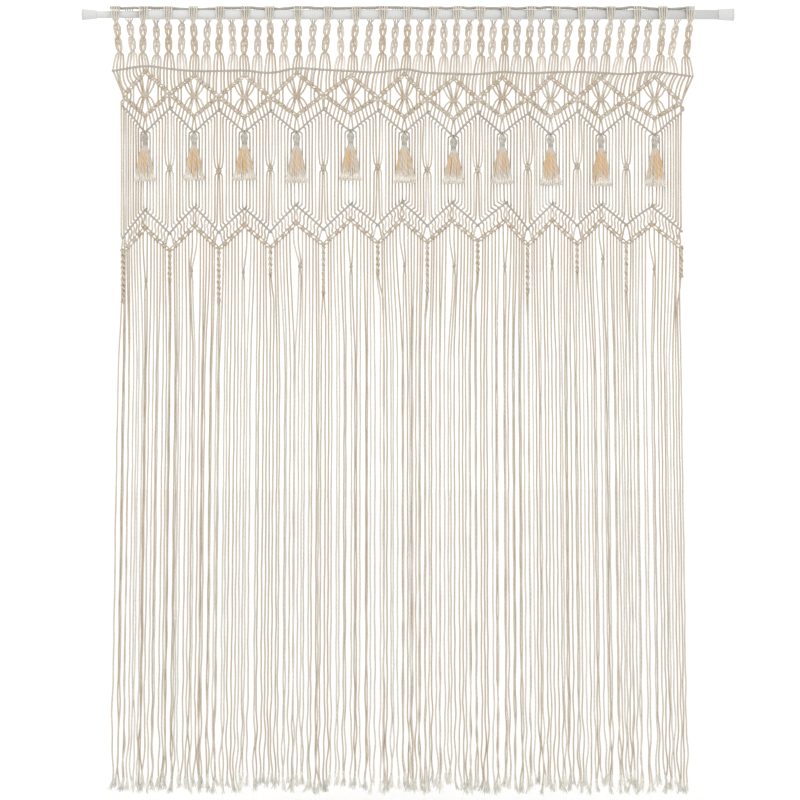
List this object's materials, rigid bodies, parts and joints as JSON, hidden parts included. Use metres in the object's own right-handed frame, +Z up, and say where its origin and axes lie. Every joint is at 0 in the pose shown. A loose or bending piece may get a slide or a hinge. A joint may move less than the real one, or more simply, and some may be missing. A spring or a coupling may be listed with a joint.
{
  "type": "macrame curtain on tension rod",
  "caption": "Cream cotton macrame curtain hanging on a white tension rod: knotted sennits, a diamond band, chevron cord, tassels and a long straight fringe of cords.",
  "frame": {"origin": "the middle of the rod's axis", "axes": "X along the rod, to the right as seen from the front; the front of the curtain faces -Y; +Z is up"},
  "size_m": [1.488, 0.036, 1.795],
  "materials": {
    "rod_paint": "satin white paint",
    "rod_cap": "moulded white plastic",
    "cotton_cord": "twisted natural cotton cord",
    "tassel_cotton": "combed natural cotton"
  },
  "bodies": {
    "root": {"rod_inner_tube": "rod_paint", "rod_outer_tube": "rod_paint", "rod_cap_left": "rod_cap", "rod_cap_right": "rod_cap", "macrame_panel": "cotton_cord", "fringe": "cotton_cord", "tassel_01": "tassel_cotton", "tassel_02": "tassel_cotton", "tassel_03": "tassel_cotton", "tassel_04": "tassel_cotton", "tassel_05": "tassel_cotton", "tassel_06": "tassel_cotton", "tassel_07": "tassel_cotton", "tassel_08": "tassel_cotton", "tassel_09": "tassel_cotton", "tassel_10": "tassel_cotton", "tassel_11": "tassel_cotton"}
  },
  "joints": []
}
